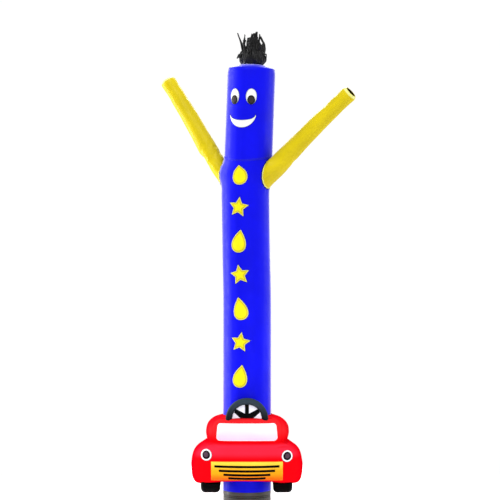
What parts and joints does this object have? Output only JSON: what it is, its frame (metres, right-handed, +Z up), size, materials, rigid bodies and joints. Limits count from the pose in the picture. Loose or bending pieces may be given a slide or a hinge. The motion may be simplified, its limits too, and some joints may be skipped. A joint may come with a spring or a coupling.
{
  "type": "inflatable air dancer",
  "caption": "Upright fabric tube man with raised open arms, smiling face and ribbon hair, wearing a padded toy car with steering wheel, on a round blower outlet.",
  "frame": {"origin": "centre of the outlet's flat base, on the surface it stands on", "axes": "+Z up the tube, -Y to the front of the car, +X to the car's left side (right as seen from the front)"},
  "size_m": [0.9217, 0.4388, 2.2878],
  "materials": {
    "blue_cloth": "coated nylon, satin",
    "yellow_cloth": "coated nylon, satin",
    "black_cloth": "coated nylon, satin",
    "white_cloth": "coated nylon, satin",
    "red_cloth": "padded coated nylon, satin",
    "orange_cloth": "printed cloth, yellow above to orange below",
    "grey_plastic": "moulded plastic"
  },
  "bodies": {
    "root": {"blower_drum": "grey_plastic", "body_tube": "blue_cloth", "head_tube": "blue_cloth", "head_cap": "blue_cloth", "arm_left": "yellow_cloth", "arm_right": "yellow_cloth", "eye_white_left": "white_cloth", "eye_white_right": "white_cloth", "pupil_left": "black_cloth", "pupil_right": "black_cloth", "smile": "white_cloth", "drop_1": "yellow_cloth", "star_2": "yellow_cloth", "drop_3": "yellow_cloth", "star_4": "yellow_cloth", "drop_5": "yellow_cloth", "star_6": "yellow_cloth", "drop_7": "yellow_cloth", "hair": "black_cloth", "car_body": "red_cloth", "windscreen": "white_cloth", "grille_panel": "orange_cloth", "grille_bar_1": "black_cloth", "grille_bar_2": "black_cloth", "grille_bar_3": "black_cloth", "grille_bar_4": "black_cloth", "headlight_rim_left": "white_cloth", "headlight_rim_right": "white_cloth", "headlight_lens_left": "black_cloth", "headlight_lens_right": "black_cloth", "tyre_front_left": "black_cloth", "tyre_front_right": "black_cloth", "tyre_rear_left": "black_cloth", "tyre_rear_right": "black_cloth", "steering_ring": "black_cloth", "steering_panel": "white_cloth", "steering_spokes": "black_cloth"}
  },
  "joints": []
}
